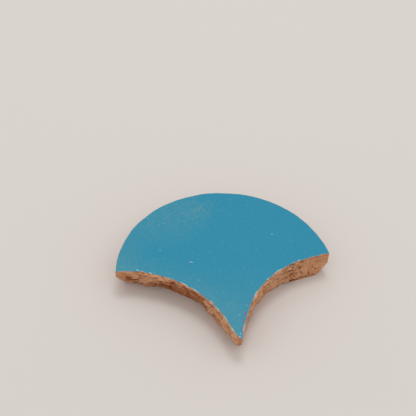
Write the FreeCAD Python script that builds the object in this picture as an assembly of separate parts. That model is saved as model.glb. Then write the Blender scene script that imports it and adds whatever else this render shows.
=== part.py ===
import FreeCAD, Part
from collections import namedtuple
import math
import os

# A fish scale tile, cut by hand from a glazed terracotta square and fired as one piece.
# The underside lies on Z = 0 with the glazed face up, and the tail points along -Y.
# The outline comes from the laid pattern: a round head, and two bays that take the
# heads of the neighbouring scales, with the blunt tail lying between those heads.

# Driving dimensions, in millimetres
scale_radius = 50.0        # round head
row_pitch = 45.2           # step from one laid row of scales to the next
joint = 0.5                # hairline joint between a head and the bay that it nests in
tail_width = 2.4           # blunt end of the tail
tail_foot_width = 1.6      # the same at the underside
thickness = 14.0           # from the underside to the glazed face
land_height = 4.0          # square-cut band below the glazed edge
waist_height = 5.5         # from the underside to where the upper strokes meet the lower ones
head_undercut = 3.0        # how far the underside stands back from the head's edge
left_undercut = 3.8        # the same at the left bay, for a stroke of 1
right_undercut = 1.0       # the same at the right bay
stroke_length = 9.0        # one stroke of the cutting hammer along the head
stroke_depth = 0.4         # how much deeper every second stroke bites there
upright_length = 12.0      # along the head from the right cusp to where it has its full undercut
left_corner_reach = 13.0   # lower corner struck off at the left cusp, along the bay
left_corner_height = 10.0  # and up the cusp
right_corner_reach = 5.0   # the same at the right cusp
right_corner_height = 7.0
head_corner_reach = 6.0    # both struck corners, along the head
tail_chip_length = 3.6     # upper left corner broken off the tail, along the bay
tail_chip_width = 2.1      # along the tail's blunt end
tail_chip_depth = 4.0      # and down from the face

# A stroke of the hammer ends at a share of the way along its side. There the tile stands back from
# the glazed edge by a share of the side's undercut at the waist and at the foot, or out by a minus.
Stroke = namedtuple("Stroke", "along waist foot")

# The two bays, each from its cusp to the tail
left_strokes = (
    Stroke(0.00, 0.40, 0.90),
    Stroke(0.13, 0.75, 1.20),
    Stroke(0.19, 0.25, 0.80),
    Stroke(0.28, 0.50, 1.25),
    Stroke(0.36, 0.80, 1.05),
    Stroke(0.48, 0.80, 1.10),
    Stroke(0.57, 0.80, 1.15),
    Stroke(0.61, 0.65, 0.92),
    Stroke(0.66, 0.15, 0.75),
    Stroke(0.77, 0.15, 0.60),
    Stroke(0.91, 0.35, 1.00),
    Stroke(1.00, 0.40, 0.90),
)
right_strokes = (
    Stroke(0.00, 0.00, 0.00),
    Stroke(0.13, -0.50, -0.90),
    Stroke(0.20, -0.40, -0.70),
    Stroke(0.27, 0.60, -0.10),
    Stroke(0.32, 0.80, 1.10),
    Stroke(0.37, 0.30, 0.90),
    Stroke(0.44, 0.70, 1.60),
    Stroke(0.54, 0.30, 0.90),
    Stroke(0.63, 0.30, 0.70),
    Stroke(0.71, -0.10, -0.20),
    Stroke(0.82, -0.20, -0.30),
    Stroke(0.87, 0.30, 0.60),
    Stroke(1.00, 0.00, 0.00),
)

# Worked out from the driving dimensions
neighbour_offset = scale_radius + tail_width / 2
bay_radius = scale_radius + joint
land_foot = thickness - land_height
waist_drop = (land_foot - waist_height) / land_foot

LEFT = -1
RIGHT = 1
INTO_HEAD = -1             # a deeper cut makes the head's arc smaller
INTO_BAY = 1               # and a bay's arc larger


class Side:
    """One arc of the outline about its centre, from its start to its end, with the strokes that cut it."""

    def __init__(self, centre, radius, start, end, deeper):
        self.centre = centre
        self.radius = radius
        self.deeper = deeper
        self.start = angle_about(centre, start)
        turn = angle_about(centre, end) - self.start
        self.sweep = turn % (2 * math.pi) if deeper == INTO_HEAD else -(-turn % (2 * math.pi))
        self.length = radius * abs(self.sweep)
        self.strokes = []

    def point(self, share, height, inset=0.0):
        """The point at a share of the arc, set back into the tile."""
        angle = self.start + share * self.sweep
        reach = self.radius + self.deeper * inset
        x = self.centre[0] + reach * math.cos(angle)
        y = self.centre[1] + reach * math.sin(angle)
        return FreeCAD.Vector(x, y, height)

    def struck(self, level, height):
        """Where the strokes between the side's two ends end, at the waist or at the foot."""
        return [self.point(stroke.along, height, getattr(stroke, level)) for stroke in self.strokes[1:-1]]

    def on_foot(self, share):
        """The point at a share of the arc on the straight stroke that cuts the foot there."""
        for first, second in zip(self.strokes, self.strokes[1:]):
            if share <= second.along:
                start = self.point(first.along, 0, first.foot)
                end = self.point(second.along, 0, second.foot)
                return start + (end - start) * ((share - first.along) / (second.along - first.along))

    def cut_radius(self, stroke, level):
        """The arc's radius where a stroke has cut it."""
        return self.radius + self.deeper * getattr(stroke, level)


def angle_about(centre, point):
    return math.atan2(point[1] - centre[1], point[0] - centre[0])


def bay_centre(side):
    """The middle of the neighbouring scale whose head nests in the bay."""
    return (side * neighbour_offset, -row_pitch)


def cusp(head, bay, side):
    """Where a head's arc meets a bay's arc."""
    centre = bay_centre(side)
    apart = math.hypot(*centre)
    along = (head ** 2 - bay ** 2 + apart ** 2) / (2 * apart)
    across = math.sqrt(head ** 2 - along ** 2)
    unit = (centre[0] / apart, centre[1] / apart)
    return (along * unit[0] - side * across * unit[1], along * unit[1] + side * across * unit[0])


def tail_corners(left_bay, right_bay, width):
    """The left and right ends of the tail's blunt edge, where the two bays leave that width."""
    between = 2 * neighbour_offset - width
    to_right = (between + (right_bay ** 2 - left_bay ** 2) / between) / 2
    rise = math.sqrt(right_bay ** 2 - to_right ** 2)
    x = neighbour_offset - to_right
    y = rise - row_pitch
    return (x - width, y), (x, y)


def scaled(strokes, undercut):
    return [Stroke(stroke.along, stroke.waist * undercut, stroke.foot * undercut) for stroke in strokes]


def head_strokes(length):
    """Even strokes from the upright right cusp to the left one, every second one biting deeper."""
    count = round(length / stroke_length)
    strokes = []
    for i in range(count + 1):
        along = i / count
        inset = head_undercut * min(1.0, along * length / upright_length)
        if 0 < i < count and i % 2:
            inset += stroke_depth
        strokes.append(Stroke(along, inset * waist_drop, inset))
    return strokes


def outline():
    """Head, left bay and right bay, counter-clockwise from the right cusp."""
    left_cusp = cusp(scale_radius, bay_radius, LEFT)
    right_cusp = cusp(scale_radius, bay_radius, RIGHT)
    left_tail, right_tail = tail_corners(bay_radius, bay_radius, tail_width)
    head = Side((0, 0), scale_radius, right_cusp, left_cusp, INTO_HEAD)
    left = Side(bay_centre(LEFT), bay_radius, left_cusp, left_tail, INTO_BAY)
    right = Side(bay_centre(RIGHT), bay_radius, right_tail, right_cusp, INTO_BAY)
    head.strokes = head_strokes(head.length)
    left.strokes = scaled(left_strokes, left_undercut)
    from_tail = [stroke._replace(along=1 - stroke.along) for stroke in reversed(right_strokes)]
    right.strokes = scaled(from_tail, right_undercut)
    return head, left, right


def smooth_wire(sides, height):
    """The outline as true arcs, divided where the strokes end, and closed by the tail's blunt edge."""
    runs = []
    for side in sides:
        ends = [stroke.along for stroke in side.strokes]
        run = []
        for start, end in zip(ends, ends[1:]):
            marks = (side.point(share, height) for share in (start, (start + end) / 2, end))
            run.append(Part.Arc(*marks))
        runs.append(run)
    head, left, right = runs
    tail = Part.LineSegment(left[-1].EndPoint, right[0].StartPoint)
    return Part.Wire([edge.toShape() for edge in [*head, *left, tail, *right]])


def struck_wire(sides, level, height, width):
    """The outline as straight strokes, at the waist or at the foot."""
    head, left, right = sides
    starts = [side.cut_radius(side.strokes[0], level) for side in sides]
    ends = [side.cut_radius(side.strokes[-1], level) for side in sides]
    head_start, left_start, right_start = starts
    head_end, left_end, right_end = ends
    right_cusp = cusp(head_start, right_end, RIGHT)
    left_cusp = cusp(head_end, left_start, LEFT)
    left_tail, right_tail = tail_corners(left_end, right_start, width)
    corners = [FreeCAD.Vector(*corner, height) for corner in (right_cusp, left_cusp, left_tail, right_tail)]
    marks = [corners[0], *head.struck(level, height), corners[1], *left.struck(level, height)]
    marks += [corners[2], corners[3], *right.struck(level, height), corners[0]]
    return Part.makePolygon(marks)


def glazed_plate(sides):
    """The square-cut upper part, from the foot of the land to the glazed face."""
    face = Part.Face(smooth_wire(sides, land_foot))
    return face.extrude(FreeCAD.Vector(0, 0, land_height))


def struck_body(sides):
    """The lower part, which the strokes take back from the land to the waist and on to the underside."""
    waist_width = tail_width + (tail_foot_width - tail_width) * waist_drop
    wires = [
        struck_wire(sides, "foot", 0, tail_foot_width),
        struck_wire(sides, "waist", waist_height, waist_width),
        smooth_wire(sides, land_foot),
    ]
    return Part.makeLoft(wires, True, True)


def broken_off(lost, *places):
    """What breaks off at a lost corner: all that lies beyond three places' plane, as far as they reach."""
    reach = max(place.distanceToPoint(lost) for place in places)
    beyond = Part.Plane(*places).toShape().makeHalfSpace(lost)
    return Part.makeSphere(reach, lost).common(beyond)


def fish_scale_tile():
    sides = outline()
    head, left, right = sides
    tile = glazed_plate(sides).fuse(struck_body(sides))
    left_corner = broken_off(
        left.point(0, 0),
        left.point(0, left_corner_height),
        left.on_foot(left_corner_reach / left.length),
        head.on_foot(1 - head_corner_reach / head.length),
    )
    right_corner = broken_off(
        right.point(1, 0),
        right.point(1, right_corner_height),
        right.on_foot(1 - right_corner_reach / right.length),
        head.on_foot(head_corner_reach / head.length),
    )
    tail_corner = left.point(1, thickness)
    tail_chip = broken_off(
        tail_corner,
        left.point(1, thickness - tail_chip_depth),
        left.point(1 - tail_chip_length / left.length, thickness),
        tail_corner + FreeCAD.Vector(tail_chip_width, 0, 0),
    )
    tile = tile.cut([left_corner, right_corner, tail_chip])
    tile.translate(FreeCAD.Vector(0, -(scale_radius + tail_corner.y) / 2, 0))
    return tile.Solids[0]


os.makedirs("parts", exist_ok=True)
tile = fish_scale_tile()
tile.exportStep("parts/fish_scale_tile.step")
box = tile.BoundBox
print("valid", tile.isValid(), "volume", round(tile.Volume), "faces", len(tile.Faces))
print("size", round(box.XLength, 2), round(box.YLength, 2), round(box.ZLength, 2))
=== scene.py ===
import math
from collections import namedtuple

import bpy
from mathutils import Matrix, Vector


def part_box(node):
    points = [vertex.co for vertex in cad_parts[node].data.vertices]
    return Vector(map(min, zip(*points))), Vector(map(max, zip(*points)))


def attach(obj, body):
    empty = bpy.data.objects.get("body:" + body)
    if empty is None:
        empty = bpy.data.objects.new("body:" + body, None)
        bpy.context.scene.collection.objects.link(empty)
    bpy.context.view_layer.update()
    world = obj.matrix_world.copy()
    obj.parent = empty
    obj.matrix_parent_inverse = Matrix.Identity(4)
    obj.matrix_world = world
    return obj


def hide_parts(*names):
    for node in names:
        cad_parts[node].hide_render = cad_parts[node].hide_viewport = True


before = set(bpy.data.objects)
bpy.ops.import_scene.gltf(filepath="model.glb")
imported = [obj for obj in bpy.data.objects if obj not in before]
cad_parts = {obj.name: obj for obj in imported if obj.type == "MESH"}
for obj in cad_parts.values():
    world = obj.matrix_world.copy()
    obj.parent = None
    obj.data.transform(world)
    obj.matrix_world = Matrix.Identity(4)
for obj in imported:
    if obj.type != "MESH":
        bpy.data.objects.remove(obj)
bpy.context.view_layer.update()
tile_low, tile_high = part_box("fish_scale_tile")

# The tile is worked out in millimetres, as the part is, and put into metres at the end
MM = 0.001
LEFT = -1
RIGHT = 1

# The laid pattern that gives the outline, the same as the part's
scale_radius = 50.0
row_pitch = 45.2
joint = 0.5
tail_width = 2.4
thickness = (tile_high.z - tile_low.z) / MM

# Places that follow from the pattern
bay_radius = scale_radius + joint
bay_x = scale_radius + tail_width / 2
head_y = tile_high.y / MM - scale_radius
bay_y = head_y - row_pitch
pattern_span = math.hypot(bay_x, row_pitch)
pattern_angle = math.atan2(row_pitch, bay_x)
cusp_turn_on_bay = math.acos(
    (pattern_span**2 + bay_radius**2 - scale_radius**2) / (2 * pattern_span * bay_radius)
)
cusp_angle_on_bay = pattern_angle + cusp_turn_on_bay
cusp_y = bay_y + bay_radius * math.sin(cusp_angle_on_bay)
tail_rise = math.sqrt(bay_radius**2 - (bay_x - tail_width / 2) ** 2)
tail_flare = 2 * tail_rise / (bay_x - tail_width / 2)
bay_length = bay_radius * (cusp_angle_on_bay - math.asin(tail_rise / bay_radius))
head_length = scale_radius * 2 * math.acos((cusp_y - head_y) / scale_radius)
outline_length = 2 * bay_length + tail_width + head_length

# The mesh: columns round the outline, rows from the middle of the face to that of the underside. The
# middle is set above the head's centre, where it sees the whole outline. Rows lie closer together
# near the glazed edge.
face_centre_y = head_y + 18.0
bay_columns = 236
tail_columns = 10
head_columns = 440
columns = 2 * bay_columns + tail_columns + head_columns
face_rings = 14
rim_rings = 8
wall_rows = 62
base_rings = 8
rows = face_rings + rim_rings + wall_rows + base_rings
rim_width = 1.2
wall_crowding = 1.25
face_crowding = 1.5

# The hand-cut sides, the same as the part's. Only the tail's broken corner is worn on further down.
tail_foot_width = 1.6
land_height = 4.0
waist_height = 5.5
head_undercut = 3.0
left_undercut = 3.8
right_undercut = 1.0
stroke_length = 9.0
stroke_depth = 0.4
upright_length = 12.0
left_corner_reach = 13.0
left_corner_height = 10.0
right_corner_reach = 5.0
right_corner_height = 7.0
head_corner_reach = 6.0
tail_chip_width = 2.1
tail_wear_length = 4.4
tail_wear_depth = 9.0
head_strokes = round(head_length / stroke_length)

# Where the strokes end along each bay from its cusp, and what share of the undercut they take there
Stroke = namedtuple("Stroke", "along waist foot")
left_strokes = (
    Stroke(0.00, 0.40, 0.90),
    Stroke(0.13, 0.75, 1.20),
    Stroke(0.19, 0.25, 0.80),
    Stroke(0.28, 0.50, 1.25),
    Stroke(0.36, 0.80, 1.05),
    Stroke(0.48, 0.80, 1.10),
    Stroke(0.57, 0.80, 1.15),
    Stroke(0.61, 0.65, 0.92),
    Stroke(0.66, 0.15, 0.75),
    Stroke(0.77, 0.15, 0.60),
    Stroke(0.91, 0.35, 1.00),
    Stroke(1.00, 0.40, 0.90),
)
right_strokes = (
    Stroke(0.00, 0.00, 0.00),
    Stroke(0.13, -0.50, -0.90),
    Stroke(0.20, -0.40, -0.70),
    Stroke(0.27, 0.60, -0.10),
    Stroke(0.32, 0.80, 1.10),
    Stroke(0.37, 0.30, 0.90),
    Stroke(0.44, 0.70, 1.60),
    Stroke(0.54, 0.30, 0.90),
    Stroke(0.63, 0.30, 0.70),
    Stroke(0.71, -0.10, -0.20),
    Stroke(0.82, -0.20, -0.30),
    Stroke(0.87, 0.30, 0.60),
    Stroke(1.00, 0.00, 0.00),
)

# Along each bay: how rough the break is and how dark the clay is painted, as painted shade of the undercut
# that is partly darker fresh clay. In millimetres: how far below the face that shade of the left bay
# starts, and how far the right bay's cut line wanders outwards.
left_rough = (
    (0.00, 0.3), (0.05, 0.6), (0.14, 1.0), (0.24, 1.1), (0.32, 0.9), (0.42, 0.5), (0.56, 0.4), (0.66, 0.9),
    (0.94, 1.0), (1.00, 0.4),
)
right_rough = (
    (0.00, 0.4), (0.16, 0.5), (0.24, 1.0), (0.32, 1.0), (0.40, 0.8), (0.70, 0.9), (1.00, 0.4),
)
left_shade_and_fresh_clay = (
    (0.00, 0.0), (0.06, 0.3), (0.14, 0.5), (0.26, 1.0), (0.38, 1.1), (0.61, 1.0), (0.66, 0.1), (0.72, 0.3),
    (1.00, 0.2),
)
right_shade_and_fresh_clay = (
    (0.00, 0.0), (0.16, 0.0), (0.24, 0.4), (0.33, 0.3), (0.36, 0.0), (0.44, 0.0), (0.48, 0.3), (0.55, 0.2),
    (0.61, 0.0), (1.00, 0.2),
)
left_shade_top = (
    (0.00, 7.0), (0.20, 6.0), (0.30, 3.0), (0.40, 1.2), (0.54, 1.2), (0.62, 4.0), (1.00, 8.0),
)
right_wander = (
    (0.00, 0.0), (0.05, 0.4), (0.18, 0.5), (0.24, 0.1), (0.58, 0.1), (0.66, 0.4), (0.76, 0.8), (0.90, 0.8),
    (1.00, 0.2),
)
profile_low = -2.0
profile_high = 10.0

# Fine breaks, in millimetres: how near a corner they fade, how far above the foot they grow calm, the
# spacing of pits, the straight nibbles of the head's cut line, and the least break of the glazed edge
corner_calm = 2.0
foot_calm = 1.6
pit_spacing = 1.6
nibble_length = 9.5
least_break = 0.14
crisp_angle = 32.0

# Single blows of the cutting hammer that show on the bays: along from the cusp and down from the face.
# A small lip makes the upper edge of a blow steep, a negative depth leaves a lump, and a fresh blow
# is painted darker inside, as painted shade of its hollow that is partly darker fresh clay.
Blow = namedtuple("Blow", "side along down length height depth lean lip fresh", defaults=(0.0,))
blows = (
    Blow(LEFT, 6.6, 7.6, 7.8, 6.4, 1.9, 26, 0.16, fresh=1.0),
    Blow(LEFT, 8.0, 4.0, 9.0, 4.0, -0.3, 0, 1.0),
    Blow(LEFT, 10.6, 8.5, 2.4, 7.0, -0.5, 14, 1.0),
    Blow(LEFT, 13.6, 13.4, 7.0, 5.0, 0.8, 0, 1.0),
    Blow(LEFT, 14.0, 5.5, 2.0, 9.0, -0.4, 10, 1.0),
    Blow(LEFT, 16.2, 3.6, 3.0, 2.4, 0.6, 0, 0.4),
    Blow(LEFT, 17.2, 8.6, 2.2, 4.0, -0.3, 10, 1.0),
    Blow(LEFT, 19.6, 4.8, 2.4, 8.0, -0.4, 14, 1.0),
    Blow(LEFT, 22.4, 8.2, 6.0, 3.2, 1.1, -10, 0.3),
    Blow(LEFT, 25.2, 3.2, 2.6, 5.0, -0.3, 20, 1.0),
    Blow(LEFT, 28.0, 5.4, 5.0, 5.0, 0.7, -24, 0.35),
    Blow(LEFT, 27.6, 10.6, 5.0, 3.0, 0.5, 0, 0.4),
    Blow(LEFT, 30.6, 2.6, 2.0, 4.0, -0.3, 16, 1.0),
    Blow(LEFT, 39.0, 4.6, 14.0, 6.0, 1.2, 0, 0.35),
    Blow(LEFT, 35.5, 7.4, 9.0, 1.0, -0.3, 4, 1.0),
    Blow(LEFT, 36.5, 9.4, 8.0, 1.0, -0.3, 4, 1.0),
    Blow(LEFT, 44.0, 9.4, 4.0, 5.0, 0.4, 0, 0.5),
    Blow(LEFT, 47.4, 6.5, 2.4, 12.0, -0.5, 6, 1.0),
    Blow(LEFT, 49.0, 3.6, 9.0, 1.6, 0.3, 3, 0.6),
    Blow(LEFT, 52.0, 10.0, 6.0, 5.0, 0.6, 0, 0.4),
    Blow(LEFT, 55.0, 4.0, 2.6, 2.6, 0.5, 0, 0.4),
    Blow(LEFT, 56.6, 9.8, 2.6, 7.0, -0.3, 24, 1.0),
    Blow(LEFT, 61.0, 10.0, 8.0, 4.0, 0.5, 8, 0.4),
    Blow(RIGHT, 3.0, 1.6, 7.0, 1.2, 0.3, 0, 0.5),
    Blow(RIGHT, 8.6, 11.6, 3.0, 1.4, 0.4, 0, 0.5),
    Blow(RIGHT, 12.6, 12.6, 8.0, 2.0, 0.6, -4, 0.4),
    Blow(RIGHT, 16.8, 8.8, 4.0, 4.0, 0.5, 0, 0.5),
    Blow(RIGHT, 19.0, 2.6, 3.2, 2.4, 0.7, 0, 0.4),
    Blow(RIGHT, 20.6, 6.8, 3.0, 3.0, 0.5, 0, 0.4),
    Blow(RIGHT, 21.6, 10.6, 6.0, 2.4, 0.8, 20, 0.4),
    Blow(RIGHT, 22.8, 12.6, 4.0, 1.8, 0.6, 10, 0.4),
    Blow(RIGHT, 25.0, 7.0, 2.0, 14.0, -0.4, 20, 1.0),
    Blow(RIGHT, 29.0, 6.0, 1.6, 1.6, 0.5, 0, 0.4),
    Blow(RIGHT, 31.6, 7.0, 1.8, 10.0, -0.4, 16, 1.0),
    Blow(RIGHT, 36.6, 8.4, 6.4, 11.0, 0.9, 12, 0.5),
    Blow(RIGHT, 39.8, 5.6, 1.8, 10.0, -0.5, 18, 1.0),
    Blow(RIGHT, 41.4, 9.5, 1.6, 8.0, 0.6, 16, 0.6),
    Blow(RIGHT, 43.2, 6.0, 2.0, 11.0, -0.6, 20, 1.0),
    Blow(RIGHT, 46.0, 8.4, 2.8, 10.0, 0.6, 16, 0.6),
    Blow(RIGHT, 50.0, 6.0, 2.4, 10.0, -0.5, 18, 1.0),
    Blow(RIGHT, 54.0, 6.0, 3.0, 10.0, 0.5, 18, 0.6),
)

# Chips out of the glazed edge of the bays: along from the cusp, and what share of each shows thin glaze
Chip = namedtuple("Chip", "side along length size thin")
edge_chips = (
    Chip(LEFT, 12.0, 2.8, 1.8, 0.2),
    Chip(LEFT, 15.8, 2.0, 0.6, 0.8),
    Chip(LEFT, 25.5, 3.0, 0.3, 0.6),
    Chip(LEFT, 32.0, 4.4, 0.7, 1.0),
    Chip(LEFT, 38.5, 5.0, 0.4, 1.0),
    Chip(LEFT, 48.0, 2.2, 1.1, 1.0),
    Chip(LEFT, 52.6, 1.6, 0.4, 1.0),
    Chip(LEFT, 58.0, 5.0, 0.3, 1.0),
    Chip(LEFT, 66.5, 6.0, 0.6, 1.0),
    Chip(RIGHT, 3.2, 4.0, 1.2, 0.0),
    Chip(RIGHT, 9.0, 7.0, 0.6, 0.0),
    Chip(RIGHT, 15.4, 2.4, 0.7, 0.7),
    Chip(RIGHT, 18.6, 2.4, 0.4, 0.8),
    Chip(RIGHT, 27.6, 6.0, 0.6, 1.2),
    Chip(RIGHT, 34.0, 2.5, 0.4, 1.0),
    Chip(RIGHT, 44.5, 4.5, 0.5, 1.0),
    Chip(RIGHT, 65.0, 7.0, 0.4, 1.0),
)


class Term:
    """One value in a node tree. Its operators add Math nodes, so that a formula reads as written."""

    def __init__(self, tree, socket):
        self.tree = tree
        self.socket = socket

    def __add__(self, other):
        return maths("ADD", self, other)

    def __radd__(self, other):
        return maths("ADD", other, self)

    def __sub__(self, other):
        return maths("SUBTRACT", self, other)

    def __rsub__(self, other):
        return maths("SUBTRACT", other, self)

    def __mul__(self, other):
        return maths("MULTIPLY", self, other)

    def __rmul__(self, other):
        return maths("MULTIPLY", other, self)

    def __truediv__(self, other):
        return maths("DIVIDE", self, other)

    def __pow__(self, other):
        return maths("POWER", self, other)

    def __lt__(self, other):
        return maths("LESS_THAN", self, other)

    def __gt__(self, other):
        return maths("GREATER_THAN", self, other)


def feed(tree, socket, source):
    """Links a term to a socket, or sets a plain value on it."""
    if isinstance(source, Term):
        tree.links.new(source.socket, socket)
    else:
        socket.default_value = source


def maths(operation, *terms):
    tree = next(term.tree for term in terms if isinstance(term, Term))
    node = tree.nodes.new("ShaderNodeMath")
    node.operation = operation
    for socket, term in zip(node.inputs, terms):
        feed(tree, socket, term)
    return Term(tree, node.outputs[0])


def largest(a, b):
    return maths("MAXIMUM", a, b)


def smallest(a, b):
    return maths("MINIMUM", a, b)


def limit(a):
    """Keeps a value between 0 and 1."""
    return smallest(largest(a, 0.0), 1.0)


def between(a, b, share):
    return a + (b - a) * share


def rise(value, start, end):
    """Climbs smoothly from 0 at start to 1 at end."""
    node = value.tree.nodes.new("ShaderNodeMapRange")
    node.interpolation_type = "SMOOTHSTEP"
    for socket, source in zip(node.inputs, (value, start, end)):
        feed(value.tree, socket, source)
    return Term(value.tree, node.outputs["Result"])


def vector(x, y, z):
    tree = next(term.tree for term in (x, y, z) if isinstance(term, Term))
    node = tree.nodes.new("ShaderNodeCombineXYZ")
    for socket, source in zip(node.inputs, (x, y, z)):
        feed(tree, socket, source)
    return Term(tree, node.outputs[0])


def parts(place):
    node = place.tree.nodes.new("ShaderNodeSeparateXYZ")
    feed(place.tree, node.inputs[0], place)
    return [Term(place.tree, socket) for socket in node.outputs]


def noise(place, grain, seed, detail=2.0):
    """Soft noise from -1 to 1 with lumps about one grain across."""
    node = place.tree.nodes.new("ShaderNodeTexNoise")
    node.noise_dimensions = "4D"
    feed(place.tree, node.inputs["Vector"], place)
    node.inputs["W"].default_value = seed
    node.inputs["Scale"].default_value = 1.0 / grain
    node.inputs["Detail"].default_value = detail
    return Term(place.tree, node.outputs[0]) * 2.0 - 1.0


def cells(place, grain, dimensions="3D", feature="F1", soft=0.0):
    """Random cells about one grain across: distance to the middle, three random values, the middle."""
    node = place.tree.nodes.new("ShaderNodeTexVoronoi")
    node.voronoi_dimensions = dimensions
    node.feature = feature
    feed(place.tree, node.inputs["Vector"], place)
    node.inputs["Scale"].default_value = 1.0 / grain
    if feature == "SMOOTH_F1":
        node.inputs["Smoothness"].default_value = soft
    distance = Term(place.tree, node.outputs["Distance"]) * grain
    chances = parts(Term(place.tree, node.outputs["Color"]))
    middle = parts(Term(place.tree, node.outputs["Position"]))
    return distance, chances, middle


def along_profile(points, share):
    """A profile of straight runs along a side: pairs of the share of the way along it and a value."""
    node = share.tree.nodes.new("ShaderNodeFloatCurve")
    curve = node.mapping.curves[0]
    while len(curve.points) < len(points):
        curve.points.new(0.5, 0.5)
    for knot, (place, value) in zip(curve.points, points):
        knot.location = (place, (value - profile_low) / (profile_high - profile_low))
        knot.handle_type = "VECTOR"
    node.mapping.update()
    feed(share.tree, node.inputs["Value"], share)
    return between(profile_low, profile_high, Term(share.tree, node.outputs[0]))


def struck_side(strokes, undercut, share, to_waist, to_foot):
    """How far the straight strokes set a bay back, between the land, the waist and the foot."""
    waist = along_profile([(stroke.along, stroke.waist) for stroke in strokes], share)
    foot = along_profile([(stroke.along, stroke.foot) for stroke in strokes], share)
    bulge = 0.0
    for first, second in zip(strokes, strokes[1:]):
        bulge = bulge + largest((share - first.along) * (second.along - share), 0.0)
    bulge = bulge * (bay_length**2 / (2 * bay_radius))
    return (waist * to_waist + (foot - waist) * to_foot) * undercut - bulge * to_waist


def cusp_turn(radius, other_radius):
    """The angle between an arc's cusp with another arc and the line that joins their centres."""
    return maths(
        "ARCCOSINE",
        (pattern_span**2 + radius * radius - other_radius * other_radius) / (2 * pattern_span * radius),
    )


def bay_arc(side, radius, head_radius, tail_height, share):
    """A bay from its cusp to the tail: place, outward direction and distance along."""
    tail_angle = maths("ARCSINE", tail_height / radius)
    angle = between(pattern_angle + cusp_turn(radius, head_radius), tail_angle, share)
    cosine = maths("COSINE", angle)
    sine = maths("SINE", angle)
    x = side * bay_x - side * radius * cosine
    y = bay_y + radius * sine
    along = (cusp_angle_on_bay - angle) * bay_radius
    return (x, y, side * cosine, -1.0 * sine, along)


def head_arc(radius, left_radius, right_radius, share):
    """The head from the right cusp round to the left one."""
    right_end = cusp_turn(radius, right_radius) - pattern_angle
    left_end = math.pi + pattern_angle - cusp_turn(radius, left_radius)
    angle = between(right_end, left_end, share)
    cosine = maths("COSINE", angle)
    sine = maths("SINE", angle)
    return (radius * cosine, head_y + radius * sine, cosine, sine, share * head_length)


def tail_line(left, right, tail_height, share):
    """The blunt tail from the left bay to the right one."""
    return (between(left, right, share), bay_y + tail_height, 0.0, -1.0, share * tail_width)


def bay_point(side, distance, height, inset=0.0):
    """A place on a bay, at a distance from its cusp and set back into the tile."""
    angle = cusp_angle_on_bay - distance / bay_radius
    reach = bay_radius + inset
    return Vector((side * (bay_x - reach * math.cos(angle)), bay_y + reach * math.sin(angle), height))


def head_point(side, distance, height, inset):
    """A place on the head, at a distance from one of its cusps and set back into the tile."""
    angle = math.asin((cusp_y - head_y) / scale_radius) + distance / scale_radius
    reach = scale_radius - inset
    return Vector((side * reach * math.cos(angle), head_y + reach * math.sin(angle), height))


def foot_inset(strokes, undercut, distance):
    """How far the foot of a bay stands back at a distance from the cusp."""
    share = distance / bay_length
    for first, second in zip(strokes, strokes[1:]):
        if share <= second.along:
            part = (share - first.along) / (second.along - first.along)
            return (first.foot + part * (second.foot - first.foot)) * undercut


def broken_off(point, lost, *places):
    """Moves what lies beyond three places' plane on to it, as far from the lost corner as they reach."""
    first, second, third = places
    normal = (second - first).cross(third - first).normalized()
    if normal.dot(lost - first) < 0:
        normal.negate()
    reach = max((place - lost).length for place in places)
    x, y, z = point
    gap_x = x - lost.x
    gap_y = y - lost.y
    gap_z = z - lost.z
    nearby = gap_x * gap_x + gap_y * gap_y + gap_z * gap_z < reach * reach
    over = largest(x * normal.x + y * normal.y + z * normal.z - normal.dot(first), 0.0) * nearby
    return (x - over * normal.x, y - over * normal.y, z - over * normal.z)


def facets(along, down, length, height, step, run_tilt, drop_tilt):
    """Flat breaks of random tilt and depth, about length by height each: relief and a random tone."""
    place = vector(along / length, down / height, 0.0)
    chances, middle = cells(place, 1.0, "2D", "SMOOTH_F1", 0.08)[1:]
    run = along - middle[0] * length
    drop = down - middle[1] * height
    relief = (
        (chances[0] - 0.5) * 2.0 * run_tilt * run
        + (chances[1] - 0.5) * 2.0 * drop_tilt * drop
        + (chances[2] - 0.5) * 2.0 * step
    )
    return relief, chances[0] - chances[1]


def blow_relief(blow, along, down):
    """One blow: a bowl, or with a small lip a torn hollow, steep above and fading out below."""
    lean = math.radians(blow.lean)
    run = along - blow.along
    drop = down - blow.down
    lengthwise = (run * math.cos(lean) + drop * math.sin(lean)) / (blow.length / 2)
    crosswise = (drop * math.cos(lean) - run * math.sin(lean)) / (blow.height / 2)
    fade = 1.0 - lengthwise * lengthwise
    if blow.lip < 1.0:
        torn = smallest((crosswise + 1.0) / blow.lip, (1.0 - crosswise) / (2.0 - blow.lip))
        return largest(fade, 0.0) * largest(torn, 0.0) * blow.depth
    return largest(fade - crosswise * crosswise, 0.0) * blow.depth


def swell(place, middle, length):
    """Rises to 1 in the middle of a stretch and falls to 0 at its ends."""
    away = (place - middle) / (length / 2)
    return largest(1.0 - away * away, 0.0)


def node_input(tree, kind, output=0):
    return Term(tree, tree.nodes.new(kind).outputs[output])


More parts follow.
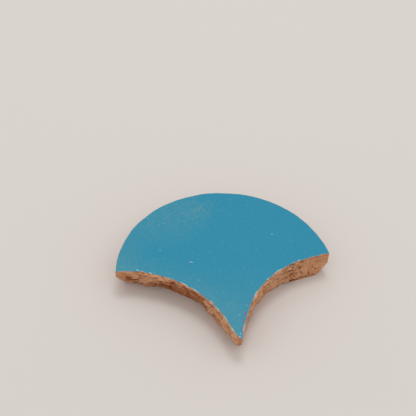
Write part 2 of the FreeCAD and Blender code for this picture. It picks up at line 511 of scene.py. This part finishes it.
def hand_cut_tree(material):
    """The whole tile as one grid, wrapped round the outline and cut by hand."""
    tree = bpy.data.node_groups.new("hand_cut_scale", "GeometryNodeTree")
    tree.interface.new_socket("Tile", in_out="OUTPUT", socket_type="NodeSocketGeometry")
    sizes = (
        ("Thickness", thickness),
        ("Head Undercut", head_undercut),
        ("Left Undercut", left_undercut),
        ("Right Undercut", right_undercut),
        ("Bite Depth", stroke_depth),
        ("Stroke Length", stroke_length),
        ("Stroke Height", 8.0),
        ("Stroke Depth", 0.30),
        ("Spall Length", 4.5),
        ("Spall Height", 2.0),
        ("Spall Depth", 0.20),
        ("Layer Length", 4.5),
        ("Layer Height", 1.6),
        ("Layer Depth", 0.50),
        ("Plate Depth", 0.35),
        ("Grain Depth", 0.15),
        ("Pit Depth", 0.30),
        ("Chip Size", 0.60),
        ("Face Sag", 0.14),
        ("Seed", 4.0),
    )
    for name, value in sizes:
        socket = tree.interface.new_socket(name, in_out="INPUT", socket_type="NodeSocketFloat")
        socket.default_value = value
    group_input = tree.nodes.new("NodeGroupInput")
    size = {name: Term(tree, group_input.outputs[name]) for name, value in sizes}

    # Column and row of every point of the grid
    grid = tree.nodes.new("GeometryNodeMeshGrid")
    grid.inputs["Size X"].default_value = 1.0
    grid.inputs["Size Y"].default_value = 1.0
    grid.inputs["Vertices X"].default_value = columns + 1
    grid.inputs["Vertices Y"].default_value = rows + 1
    grid_x, grid_y = parts(node_input(tree, "GeometryNodeInputPosition"))[:2]
    column = (grid_x + 0.5) * columns
    row = (grid_y + 0.5) * rows
    face_share = limit(row / face_rings)
    rim_share = limit((row - face_rings) / rim_rings)
    wall_share = limit((row - face_rings - rim_rings) / wall_rows)
    base_share = limit((row - face_rings - rim_rings - wall_rows) / base_rings)

    # The section: in from the edge on the face, down the wall, in again on the underside
    deep = size["Thickness"]
    down = deep * wall_share**wall_crowding
    from_edge = rim_width * (1.0 - rim_share)
    spread = (1.0 - (1.0 - face_share) ** face_crowding) * (1.0 - base_share * base_share)
    land_foot = deep - land_height
    lean = limit((down - land_height) / land_foot)
    to_waist = limit((down - land_height) / (land_foot - waist_height))
    to_foot = limit((down - deep + waist_height) / waist_height)

    # The side of the outline that each column is on, and how far along it
    tail_start = bay_columns
    right_start = bay_columns + tail_columns
    head_start = 2 * bay_columns + tail_columns
    left_share = limit(column / bay_columns)
    tail_share = limit((column - tail_start) / tail_columns)
    right_share = limit((head_start - column) / bay_columns)
    head_share = limit((column - head_start) / head_columns)
    on_left = column < tail_start + 0.5
    on_head = column > head_start - 0.5
    on_right = (column > right_start - 0.5) * (1.0 - on_head)
    on_tail = 1.0 - on_left - on_right - on_head

    # The outline at this depth. The head is cut back under the face, but not at the right cusp.
    upright = smallest(head_share * (head_length / upright_length), 1.0)
    cut_under = size["Head Undercut"] * lean * (on_left + on_tail + on_head * upright)
    head_radius = scale_radius - from_edge - cut_under
    corner = left_strokes[0]
    left_inset = corner.waist * to_waist + (corner.foot - corner.waist) * to_foot
    left_inset = left_inset * size["Left Undercut"]
    left_radius = bay_radius + from_edge + left_inset
    right_radius = bay_radius + from_edge
    tail = tail_width - (2 - tail_flare) * from_edge - (tail_width - tail_foot_width) * lean
    apart = 2 * bay_x - tail
    to_right = (apart + (right_radius * right_radius - left_radius * left_radius) / apart) / 2
    tail_height = maths("SQRT", right_radius * right_radius - to_right * to_right)
    tail_right = bay_x - to_right
    arcs = (
        (on_left, bay_arc(LEFT, left_radius, head_radius, tail_height, left_share)),
        (on_tail, tail_line(tail_right - tail, tail_right, tail_height, tail_share)),
        (on_right, bay_arc(RIGHT, right_radius, head_radius, tail_height, right_share)),
        (on_head, head_arc(head_radius, left_radius, right_radius, head_share)),
    )
    x, y, out_x, out_y, along = (
        sum(mask * arc[part] for mask, arc in arcs) for part in range(5)
    )
    turned = left_share * bay_length + tail_share * tail_width
    turned = turned + (1.0 - right_share) * bay_length + head_share * head_length
    ring_angle = turned * (2 * math.pi / outline_length)
    ring_radius = outline_length / (2 * math.pi)
    ring_x = maths("COSINE", ring_angle) * ring_radius
    ring_y = maths("SINE", ring_angle) * ring_radius
    ring = vector(ring_x, ring_y, down)
    to_corner = (
        on_left * smallest(left_share, 1.0 - left_share) * bay_length
        + on_right * smallest(right_share, 1.0 - right_share) * bay_length
        + on_head * smallest(head_share, 1.0 - head_share) * head_length
        + on_tail * smallest(tail_share, 1.0 - tail_share) * tail_width
    )
    calm = rise(to_corner, 0.0, corner_calm)

    # The strokes that set the wall back from the plain arcs, as they cut the part. The undercut moves
    # the left cusp along the bay, and the first stroke starts from there.
    bay_share = along / bay_length
    left_start = (cusp_turn_on_bay - cusp_turn(left_radius, head_radius)) * (bay_radius / bay_length)
    first_end = left_strokes[1].along
    before_end = limit((first_end - bay_share) / (first_end - left_start))
    from_cusp = bay_share - left_start * before_end
    left_cut = struck_side(left_strokes, size["Left Undercut"], from_cusp, to_waist, to_foot)
    right_cut = struck_side(right_strokes, size["Right Undercut"], bay_share, to_waist, to_foot)
    strokes_past = head_share * head_strokes
    bite = maths("PINGPONG", strokes_past, 1.0) * size["Bite Depth"]
    stroke_share = maths("FRACT", strokes_past)
    flat = stroke_share * (1.0 - stroke_share) * ((head_length / head_strokes) ** 2 / (2 * scale_radius))
    head_cut = bite * lean + flat * to_waist
    cut = on_left * (left_cut - left_inset) + on_right * right_cut + on_head * head_cut
    x = (x - out_x * cut) * spread
    y = face_centre_y + (y - out_y * cut - face_centre_y) * spread

    # The lower corners struck off below the cusps, and the tail's left corner broken off
    left_foot = foot_inset(left_strokes, left_undercut, left_corner_reach)
    right_foot = foot_inset(right_strokes, right_undercut, right_corner_reach)
    point = broken_off(
        (x, y, deep - down),
        bay_point(LEFT, 0.0, 0.0),
        bay_point(LEFT, 0.0, left_corner_height),
        bay_point(LEFT, left_corner_reach, 0.0, left_foot),
        head_point(LEFT, head_corner_reach, 0.0, head_undercut),
    )
    point = broken_off(
        point,
        bay_point(RIGHT, 0.0, 0.0),
        bay_point(RIGHT, 0.0, right_corner_height),
        bay_point(RIGHT, right_corner_reach, 0.0, right_foot),
        head_point(RIGHT, head_corner_reach, 0.0, head_undercut * head_corner_reach / upright_length),
    )
    tail_corner = bay_point(LEFT, bay_length, thickness)
    x, y, z = broken_off(
        point,
        tail_corner,
        bay_point(LEFT, bay_length, thickness - tail_wear_depth),
        bay_point(LEFT, bay_length - tail_wear_length, thickness),
        tail_corner + Vector((tail_chip_width, 0.0, 0.0)),
    )

    # Relief of the wall on top of that, measured inwards, with every line of it a little wavy
    seed = size["Seed"]
    below_edge = rise(down, 0.0, 1.0)
    wavy_along = along + noise(ring, 3.0, 20.0, 3.0) * 1.8
    wavy_down = down + noise(ring, 2.6, 21.0, 3.0) * 1.1
    wavy_share = wavy_along / bay_length
    rough = on_head * rise(noise(ring, 9.0, 12.0), -0.35, 0.25) + on_tail * 0.4
    rough = rough + on_left * along_profile(left_rough, wavy_share)
    rough = rough + on_right * along_profile(right_rough, wavy_share)
    torn = 0.0
    fresh = 0.0
    for blow in blows:
        mask = on_left if blow.side == LEFT else on_right
        struck = mask * blow_relief(blow, wavy_along, wavy_down)
        torn = torn + struck
        # Blows marked fresh are painted darker inside: painted shade of the hollow, partly fresh clay
        if blow.fresh:
            fresh = fresh + struck * (blow.fresh / blow.depth)

    # Painted shade of the undercut, partly darker fresh clay: on the left bay below a line that is highest
    # at the middle of the bay
    shade_top = along_profile(left_shade_top, wavy_share)
    shade_and_fresh_clay = on_left * along_profile(left_shade_and_fresh_clay, wavy_share) * rise(wavy_down - shade_top, -1.0, 1.0)
    shade_and_fresh_clay = shade_and_fresh_clay + on_right * along_profile(right_shade_and_fresh_clay, wavy_share) * rise(wavy_down, 3.0, 8.0)
    # Darker on the head and tail and towards the foot; a painted contact shadow along the right bay's
    # foot, the rest of that bay a little lighter
    shade_and_fresh_clay = shade_and_fresh_clay + (on_head + on_tail) * 0.25 + rise(wavy_down, 10.0, deep) * 0.2
    shade_and_fresh_clay = shade_and_fresh_clay + on_right * (rise(down, deep - 1.6, deep - 0.6) * 0.5 - 0.2)

    # Strokes of the cutting hammer, and the smaller breaks that each leaves in the clay
    side_along = wavy_along + on_right * 200.0 + on_head * 400.0 + seed * 31.0
    stroke_size = size["Stroke Length"], size["Stroke Height"], size["Stroke Depth"]
    stroke, stroke_tone = facets(side_along, wavy_down, *stroke_size, 0.11, 0.15)
    spall_size = size["Spall Length"], size["Spall Height"], size["Spall Depth"]
    spall, spall_tone = facets(side_along, wavy_down, *spall_size, 0.10, 0.20)
    relief = torn + stroke * (on_head * 0.6 + on_left * 0.4 + on_right * 0.25 + on_tail * 0.3)

    # Layers in the clay that break along the edge, grain and pits
    layer_place = vector(
        ring_x / size["Layer Length"], ring_y / size["Layer Length"], wavy_down / size["Layer Height"]
    )
    ridges = 1.0 - smallest(maths("ABSOLUTE", noise(layer_place, 1.0, 11.0, 3.0)) * 5.0, 1.0)
    clefts = 1.0 - smallest(maths("ABSOLUTE", noise(layer_place, 1.0, 22.0, 3.0)) * 7.0, 1.0)
    plates = noise(layer_place, 1.3, 23.0, 2.0) * 4.0
    plate = maths("FLOOR", plates)
    plate_edge = rise(plates - plate, 0.75, 1.0)
    spall = spall + (plate + plate_edge) * size["Plate Depth"]
    grain = noise(ring, 0.9, 13.0, 3.0)
    pit_distance, pit_chances = cells(ring, pit_spacing)[:2]
    pits = rise(0.40 + pit_chances[1] * 0.3 - pit_distance, 0.0, 0.3) * (pit_chances[0] > 0.4)
    pits = pits * (0.5 + 0.5 * on_right * (1.0 - rise(along, 15.0, 22.0)))
    fine = (
        (spall + (clefts - ridges) * size["Layer Depth"]) * rough
        + grain * size["Grain Depth"] * (0.6 + rough)
        + pits * size["Pit Depth"]
    )
    at_foot = rise(down, deep - foot_calm, deep)
    relief = (relief * (1.0 - at_foot * 0.3) + fine * (1.0 - at_foot * 0.7)) * calm * below_edge
    relief = between(relief, largest(relief, cut_under * -0.8), on_head)
    relief = between(relief, largest(relief, 0.0), on_tail)

    # The cut line of the face: short straight strokes on the head, small nicks on the bays
    nibble_place = vector(along + seed * 17.0, 0.0, 0.0)
    head_cells, head_chances = cells(nibble_place, nibble_length, "2D")[:2]
    stroke_sag = 0.16 + head_chances[0] * 0.16
    straight = largest(stroke_sag - head_cells * head_cells / (2 * scale_radius), 0.0)
    nicks = rise(noise(vector(ring_x, ring_y, 0.0), 4.5, 14.0, 3.0), -0.3, 0.9) * 0.3
    wobble = on_head * straight + (1.0 - on_head) * nicks
    wander = on_right * along_profile(right_wander, bay_share)
    wander = wander * (1.0 - rise(down, 0.0, deep - waist_height))
    inward = (relief + (wobble - wander) * calm * rim_share) * (1.0 - rise(base_share, 0.0, 0.375))
    x = x - out_x * inward
    y = y - out_y * inward

    # Chips out of the glazed edge: both sides of the edge move on to a slanted break
    chip_place = vector(ring_x, ring_y, 0.0)
    small_chips = rise(noise(chip_place, 1.5, 15.0, 2.0), 0.0, 0.5)
    head_chips = rise(noise(chip_place, 6.0, 16.0, 2.0), 0.05, 0.45) * small_chips * 0.5
    large_chips = on_head * head_chips
    thin_chips = on_head * head_chips
    ragged_along = along + noise(chip_place, 0.8, 24.0, 3.0) * 0.7
    for chip in edge_chips:
        mask = on_left if chip.side == LEFT else on_right
        chipped = mask * swell(ragged_along, chip.along, chip.length) * chip.size
        large_chips = large_chips + chipped
        thin_chips = thin_chips + chipped * chip.thin
    chips = (0.2 * small_chips + large_chips * (0.7 + 0.3 * small_chips)) * calm
    break_size = least_break + size["Chip Size"] * chips
    on_rim = limit(face_share * 1000.0 - 999.0)
    broken = largest(break_size - from_edge - down, 0.0) / 2 * on_rim
    x = x - out_x * broken * calm
    y = y - out_y * broken * calm
    z = z - broken

    # The lower edge crumbles, the face sags a little and the underside is not quite flat
    face_sag = (noise(vector(x, y, 0.0), 24.0, 17.0, 1.0) * 0.5 + 0.5) * size["Face Sag"]
    z = z - face_sag * (1.0 - wall_share)
    base_rough = rise(noise(vector(x, y, 0.0), 5.0, 18.0, 4.0), 0.0, 0.8) * 0.25
    z = z + base_rough * rise(base_share, 0.0, 0.4)
    foot_crumble = noise(ring, 2.2, 19.0, 3.0) * rise(down, deep - 1.4, deep) * 0.1
    x = x - out_x * foot_crumble * calm * (1.0 - base_share)
    y = y - out_y * foot_crumble * calm * (1.0 - base_share)

    # What the glaze and clay are coloured by
    geometry = grid.outputs["Mesh"]
    on_wall = limit(wall_share * 1000.0) * (1.0 - limit(base_share * 1000.0))
    for name, kind, value in (
        ("edge_gap", "FLOAT", from_edge + (1.0 - spread) * 40.0),
        ("chips", "FLOAT", chips),
        ("thin_chips", "FLOAT", thin_chips),
        ("pits", "FLOAT", pits * on_wall),
        ("break_depth", "FLOAT", fine * on_wall),
        ("stroke_tone", "FLOAT", (stroke_tone + spall_tone) * on_wall),
        ("torn", "FLOAT", torn * on_wall),
        ("shade_and_fresh_clay", "FLOAT", shade_and_fresh_clay),
        ("fresh", "FLOAT", fresh * on_wall),
        ("along_right", "FLOAT", on_right * along),
        ("ring_place", "FLOAT_VECTOR", ring),
    ):
        store = tree.nodes.new("GeometryNodeStoreNamedAttribute")
        store.data_type = kind
        store.domain = "POINT"
        store.inputs["Name"].default_value = name
        tree.links.new(geometry, store.inputs["Geometry"])
        feed(tree, store.inputs["Value"], value)
        geometry = store.outputs["Geometry"]

    # Into place, closed at the seam and at both middles, with the faces outwards
    place = tree.nodes.new("GeometryNodeSetPosition")
    tree.links.new(geometry, place.inputs["Geometry"])
    feed(tree, place.inputs["Position"], vector(x * MM, y * MM, z * MM))
    merge = tree.nodes.new("GeometryNodeMergeByDistance")
    merge.inputs["Distance"].default_value = 0.002 * MM
    tree.links.new(place.outputs["Geometry"], merge.inputs["Geometry"])
    outward = tree.nodes.new("GeometryNodeFlipFaces")
    tree.links.new(merge.outputs["Geometry"], outward.inputs["Mesh"])
    smooth = tree.nodes.new("GeometryNodeSetShadeSmooth")
    tree.links.new(outward.outputs["Mesh"], smooth.inputs["Geometry"])
    crisp = tree.nodes.new("GeometryNodeSetShadeSmooth")
    crisp.domain = "EDGE"
    crisp.inputs["Shade Smooth"].default_value = False
    sharp = node_input(tree, "GeometryNodeInputMeshEdgeAngle") > math.radians(crisp_angle)
    feed(tree, crisp.inputs["Selection"], sharp)
    tree.links.new(smooth.outputs["Geometry"], crisp.inputs["Geometry"])
    realize = tree.nodes.new("GeometryNodeRealizeInstances")
    tree.links.new(crisp.outputs["Geometry"], realize.inputs["Geometry"])
    finish = tree.nodes.new("GeometryNodeSetMaterial")
    finish.inputs["Material"].default_value = material
    tree.links.new(realize.outputs["Geometry"], finish.inputs["Geometry"])
    group_output = tree.nodes.new("NodeGroupOutput")
    tree.links.new(finish.outputs["Geometry"], group_output.inputs["Tile"])
    return tree


def mix_colour(tree, share, first, second):
    """Blends two colours. The node keeps its colour sockets at 6 and 7 and their result at 2."""
    node = tree.nodes.new("ShaderNodeMix")
    node.data_type = "RGBA"
    feed(tree, node.inputs["Factor"], share)
    feed(tree, node.inputs[6], first)
    feed(tree, node.inputs[7], second)
    return Term(tree, node.outputs[2])


def attribute(tree, name, output="Fac"):
    node = tree.nodes.new("ShaderNodeAttribute")
    node.attribute_name = name
    return Term(tree, node.outputs[output])


def specks(place, spacing, size, chance, seed):
    """Scattered specks: a share of the random cells holds one each."""
    x, y, z = parts(place)
    shifted = vector(x + seed, y, z)
    distance, chances = cells(shifted, spacing)[:2]
    radius = size * (0.5 + chances[1])
    return (1.0 - rise(distance, radius * 0.6, radius)) * (chances[0] > 1.0 - chance)


def patch(x, y, middle_x, middle_y, half_width, half_height):
    """An oval that fades from its middle to its rim."""
    away_x = (x - middle_x) / half_width
    away_y = (y - middle_y) / half_height
    return limit(1.0 - away_x * away_x - away_y * away_y)


glaze_deep = (0.002, 0.232, 0.376, 1.0)
glaze_dull_and_veil = (0.041, 0.257, 0.350, 1.0)
glaze_bright = (0.10, 0.62, 0.90, 1.0)
glaze_thin = (0.42, 0.62, 0.66, 1.0)
glaze_scratch = (0.70, 0.80, 0.82, 1.0)
speck_gold = (0.38, 0.36, 0.22, 1.0)
speck_pale = (0.40, 0.60, 0.66, 1.0)
speck_dark = (0.02, 0.07, 0.08, 1.0)
ink = (0.20, 0.10, 0.21, 1.0)
clay_body = (0.570, 0.265, 0.132, 1.0)
# The dark fresh clay below also serves as painted shade of the undercut and of the blows' hollows
clay_fresh_and_shaded = (0.315, 0.098, 0.030, 1.0)
clay_dust = (0.660, 0.375, 0.220, 1.0)
# The darkest clay below is used for dark specks and as painted shade in clefts and pits
clay_speck_and_shade = (0.190, 0.057, 0.018, 1.0)
clay_chipped = (0.500, 0.170, 0.062, 1.0)
# The scooped clay below is darker fresh clay and painted shade inside the blows' hollows
clay_scoop_and_shade = (0.360, 0.120, 0.042, 1.0)
lime = (0.75, 0.66, 0.56, 1.0)
glaze_thickness = 0.32

# Scuffs in the glaze: middle, length, width and turn in degrees
Scuff = namedtuple("Scuff", "x y length width turn")
scuffs = (
    Scuff(-14.9, 1.0, 2.2, 0.5, -20),
    Scuff(-39.8, -1.0, 1.8, 0.6, -35),
    Scuff(25.3, 14.0, 0.9, 0.5, -40),
    Scuff(-28.4, 9.6, 0.6, 0.5, 0),
    Scuff(-1.4, -41.6, 1.6, 0.7, 70),
    Scuff(0.1, -42.8, 1.3, 0.9, 10),
    Scuff(0.7, -41.2, 1.4, 0.4, 85),
    Scuff(-2.4, -38.8, 1.3, 0.4, 62),
)

# Marks of a pencil beside the right edge: along from the cusp, length and strength
Mark = namedtuple("Mark", "along length strength")
pencil_marks = (
    Mark(30.4, 4.6, 0.7),
    Mark(47.4, 3.0, 0.6),
    Mark(51.6, 3.0, 0.5),
    Mark(57.0, 3.4, 1.0),
    Mark(61.2, 4.0, 0.6),
    Mark(65.0, 3.6, 0.7),
)

# Grains of lime that show on the right bay: along from the cusp, down from the face and radius
Grain = namedtuple("Grain", "along down radius")
lime_grains = (
    Grain(2.2, 8.6, 0.42),
    Grain(11.7, 12.4, 0.34),
)


def glazed_terracotta():
    """Turquoise satin glaze on the face, bare chiselled clay on the cut sides and underneath."""
    material = bpy.data.materials.new("glazed_terracotta")
    material.use_nodes = True
    tree = material.node_tree
    shader = tree.nodes["Principled BSDF"]
    coordinates = tree.nodes.new("ShaderNodeTexCoord")
    metres = parts(Term(tree, coordinates.outputs["Object"]))
    x, y, z = (part / MM for part in metres)
    place = vector(x, y, z)

    # Glaze
    sheen = noise(place, 26.0, 1.0, 2.0)
    fleck = noise(place, 0.9, 2.0, 3.0)
    cloud = noise(place, 3.2, 11.0, 3.0)
    left_x = x + bay_x
    left_y = y - bay_y
    from_left_bay = maths("SQRT", left_x * left_x + left_y * left_y) - bay_radius
    # Painted reflection: a pale, greyer veil over the left part of the face, along the left bay and
    # towards the tail, mottled by the glaze's flecks
    reflection_veil = (
        patch(x, y, -28.0, 34.0, 30.0, 24.0) * 0.7
        + patch(x, y, -54.0, 8.0, 20.0, 20.0) * 0.8
        + (1.0 - rise(from_left_bay, 0.0, 14.0)) * 0.45
        + rise(y * -1.0, 2.0, 36.0) * 0.5
    )
    dull_and_veil = limit(0.14 + sheen * 0.06 + fleck * 0.16 + reflection_veil * (0.8 + cloud * 0.8 + fleck * 0.8))
    glaze = mix_colour(tree, dull_and_veil, glaze_deep, glaze_dull_and_veil)
    glaze = mix_colour(tree, limit(0.5 + fleck) * 0.055, glaze, glaze_bright)
    gold_patch = patch(x, y, -8.0, 32.0, 19.0, 13.0)
    gold = specks(place, 1.4, 0.26, 0.5, 5.0) * gold_patch
    hazy = gold_patch * rise(cloud + fleck * 0.5, -0.1, 0.5)
    glaze = mix_colour(tree, limit(gold * 0.6 + hazy * 0.10), glaze, speck_gold)
    dusted = specks(place, 2.4, 0.30, 0.5, 60.0) * limit(0.16 + reflection_veil * 0.4)
    glaze = mix_colour(tree, dusted, glaze, speck_pale)
    glaze = mix_colour(tree, specks(place, 5.5, 0.22, 0.4, 120.0) * 0.5, glaze, speck_dark)
    scuffed = 0.0
    for scuff in scuffs:
        turn = math.radians(scuff.turn)
        run = (x - scuff.x) * math.cos(turn) + (y - scuff.y) * math.sin(turn)
        side = (y - scuff.y) * math.cos(turn) - (x - scuff.x) * math.sin(turn)
        ragged = noise(place, 0.5, 3.0, 3.0) * 0.5
        run = run / (scuff.length / 2)
        side = side / (scuff.width / 2)
        scuffed = scuffed + (1.0 - rise(run * run + side * side + ragged, 0.4, 1.0))
    glaze = mix_colour(tree, limit(scuffed) * 0.5, glaze, glaze_scratch)
    edge_gap = attribute(tree, "edge_gap")
    along_right = attribute(tree, "along_right")
    drawn = sum(swell(along_right, mark.along, mark.length) * mark.strength for mark in pencil_marks)
    drawn = drawn * (1.0 - rise(maths("ABSOLUTE", edge_gap - 0.65 + fleck * 0.3), 0.15, 0.45))
    glaze = mix_colour(tree, limit(drawn) * 0.75, glaze, ink)
    below = thickness - z
    ragged = noise(place, 0.6, 5.0, 3.0)
    chips = attribute(tree, "chips")
    thin = 1.0 - rise(edge_gap + ragged * 0.25, 0.10, 0.22 + chips * 0.7)
    glaze = mix_colour(tree, thin * limit(0.15 + attribute(tree, "thin_chips") * 1.6), glaze, glaze_thin)

    # Clay: paler where it stands out; where it is cut back, darker as painted shade that is partly darker
    # fresh clay
    ring_x, ring_y, down = parts(attribute(tree, "ring_place", "Vector"))
    streaks = noise(vector(ring_x / 4.5, ring_y / 4.5, down / 1.2), 1.0, 6.0, 3.0)
    patches = noise(place, 6.0, 10.0, 2.0)
    shade_and_fresh_clay = attribute(tree, "shade_and_fresh_clay")
    torn = smallest(attribute(tree, "torn"), 0.8)
    # The blows' hollows darken the clay by their depth, as painted shade that is partly fresh clay; their
    # lumps lighten it
    tone = streaks * 0.8 + patches * 0.5 + attribute(tree, "stroke_tone") * 0.2 + torn * 0.8
    grain = noise(place, 0.7, 7.0, 4.0)
    speckle = noise(place, 1.0, 14.0, 2.0)
    # Painted shade of the undercut, partly darker fresh clay, mixed with random streaks and patches of
    # tone
    clay = mix_colour(tree, limit(shade_and_fresh_clay + (tone + grain * 0.3) * 0.6), clay_body, clay_fresh_and_shaded)
    clay = mix_colour(tree, limit(grain * 0.3 - tone - shade_and_fresh_clay) * 0.8, clay, clay_dust)
    break_depth = attribute(tree, "break_depth") * 1.5
    # Painted shade in the clefts, where the clay's relief is cut deepest
    clay = mix_colour(tree, rise(break_depth + grain * 0.15, 0.15, 0.55) * 0.8, clay, clay_speck_and_shade)
    # Inside the blows marked fresh: painted shade of the hollow, partly darker fresh clay
    scoop_fresh_and_shade = rise(attribute(tree, "fresh"), 0.08, 0.4)
    dusty = 1.0 - limit(shade_and_fresh_clay + scoop_fresh_and_shade) * 0.5
    clay = mix_colour(tree, rise(grain * 0.15 - break_depth, 0.10, 0.45) * dusty * 0.7, clay, clay_dust)
    clay = mix_colour(tree, scoop_fresh_and_shade * 0.8, clay, clay_scoop_and_shade)
    clay = mix_colour(tree, rise(speckle, 0.12, 0.5) * 0.55, clay, clay_speck_and_shade)
    clay = mix_colour(tree, rise(speckle * -1.0, 0.12, 0.5) * dusty * 0.6, clay, clay_dust)
    # Painted shade in the pits
    clay = mix_colour(tree, limit(attribute(tree, "pits") * 0.8 + grain * 0.2), clay, clay_speck_and_shade)
    clay = mix_colour(tree, specks(place, 1.9, 0.34, 0.4, 180.0) * 0.4, clay, clay_speck_and_shade)
    clay = mix_colour(tree, specks(place, 1.7, 0.36, 0.3, 300.0) * 0.5, clay, clay_dust)
    chipped = (1.0 - rise(below + ragged * 0.6, 0.5, 1.6)) * (1.0 - rise(along_right, 13.0, 19.0))
    clay = mix_colour(tree, chipped * (along_right > 0.3) * 0.6, clay, clay_chipped)
    limy = specks(place, 5.0, 0.30, 0.3, 240.0)
    for spot in lime_grains:
        middle = bay_point(RIGHT, spot.along, thickness - spot.down)
        gap_x = (x - middle.x) / spot.radius
        gap_z = (z - middle.z) / spot.radius
        limy = limy + (1.0 - rise(gap_x * gap_x + gap_z * gap_z, 0.5, 1.0)) * (y < 5.0)
    clay = mix_colour(tree, limit(limy) * 0.8, clay, lime)

    # Together
    bare = rise(below + ragged * 0.14, glaze_thickness - 0.06, glaze_thickness + 0.06)
    colour = mix_colour(tree, bare, glaze, clay)
    feed(tree, shader.inputs["Base Color"], colour)
    shader.inputs["Specular IOR Level"].default_value = 0.34
    glaze_rough = 0.29 + sheen * 0.05 + limit(scuffed) * 0.2
    feed(tree, shader.inputs["Roughness"], between(glaze_rough, 0.95, bare))
    glaze_height = noise(place, 3.0, 8.0, 2.0) * 0.006
    clay_height = noise(place, 0.45, 9.0, 4.0) * 0.10 + grain * 0.06
    bump = tree.nodes.new("ShaderNodeBump")
    bump.inputs["Distance"].default_value = MM
    feed(tree, bump.inputs["Height"], between(glaze_height, clay_height, bare))
    tree.links.new(bump.outputs["Normal"], shader.inputs["Normal"])
    return material


def hand_cut_tile():
    """Runs the tree once and keeps its result as a plain mesh."""
    material = glazed_terracotta()
    tree = hand_cut_tree(material)
    blank = bpy.data.objects.new("blank", bpy.data.meshes.new("blank"))
    bpy.context.scene.collection.objects.link(blank)
    modifier = blank.modifiers.new("hand_cut_scale", "NODES")
    modifier.node_group = tree
    for item in tree.interface.items_tree:
        if item.in_out == "INPUT":
            modifier[item.identifier] = item.default_value
    graph = bpy.context.evaluated_depsgraph_get()
    mesh = bpy.data.meshes.new_from_object(blank.evaluated_get(graph))
    bpy.data.objects.remove(blank)
    mesh.name = "hand_cut_tile"
    tile = bpy.data.objects.new("hand_cut_tile", mesh)
    bpy.context.scene.collection.objects.link(tile)
    return tile


def pale_floor():
    material = bpy.data.materials.new("pale_floor")
    material.use_nodes = True
    shader = material.node_tree.nodes["Principled BSDF"]
    shader.inputs["Base Color"].default_value = (0.70, 0.655, 0.62, 1.0)
    shader.inputs["Roughness"].default_value = 0.9
    half = 4.0
    level = -0.02 * MM
    mesh = bpy.data.meshes.new("pale_floor")
    corners = [(-half, -half, level), (half, -half, level), (half, half, level), (-half, half, level)]
    mesh.from_pydata(corners, [], [(0, 1, 2, 3)])
    mesh.materials.append(material)
    floor = bpy.data.objects.new("pale_floor", mesh)
    bpy.context.scene.collection.objects.link(floor)
    return floor


def soft_lamp(name, place, size, energy, colour):
    """A round soft lamp that looks at the tile."""
    light = bpy.data.lights.new(name, "AREA")
    light.shape = "DISK"
    light.size = size
    light.energy = energy
    light.color = colour
    lamp = bpy.data.objects.new(name, light)
    lamp.location = place
    lamp.rotation_mode = "QUATERNION"
    lamp.rotation_quaternion = (-lamp.location).to_track_quat("-Z", "Y")
    bpy.context.scene.collection.objects.link(lamp)


def soft_light():
    """An even room, and a soft lamp above and a little behind."""
    world = bpy.data.worlds.new("soft_room")
    world.use_nodes = True
    background = world.node_tree.nodes["Background"]
    background.inputs["Color"].default_value = (1.0, 0.985, 0.97, 1.0)
    background.inputs["Strength"].default_value = 0.80
    bpy.context.scene.world = world
    soft_lamp("top_lamp", Vector((0.06, 0.32, 1.15)), 0.45, 2.9, (0.97, 1.0, 1.02))


def photo_camera():
    """The view of the photograph: a long lens, looking down from the front, a little from the left."""
    azimuth = math.radians(-10.71)
    elevation = math.radians(46.22)
    roll = math.radians(3.36)
    look_at = Vector((-2.39, 34.04, 14.0)) * MM
    distance = 446.5 * MM
    back = Vector((
        math.sin(azimuth) * math.cos(elevation),
        -math.cos(azimuth) * math.cos(elevation),
        math.sin(elevation),
    ))
    level = Vector((math.cos(azimuth), math.sin(azimuth), 0.0))
    upright = back.cross(level)
    side = level * math.cos(roll) + upright * math.sin(roll)
    top = upright * math.cos(roll) - level * math.sin(roll)
    lens = bpy.data.cameras.new("photo_camera")
    lens.sensor_width = 36.0
    lens.lens = 79.81
    lens.clip_start = 0.01
    camera = bpy.data.objects.new("photo_camera", lens)
    turn = Matrix((side, top, back)).transposed().to_4x4()
    camera.matrix_world = Matrix.Translation(look_at + back * distance) @ turn
    bpy.context.scene.collection.objects.link(camera)
    bpy.context.scene.camera = camera


tile = hand_cut_tile()
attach(tile, "root")
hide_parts("fish_scale_tile")
pale_floor()
soft_light()
photo_camera()
bpy.context.scene.view_settings.view_transform = "Standard"
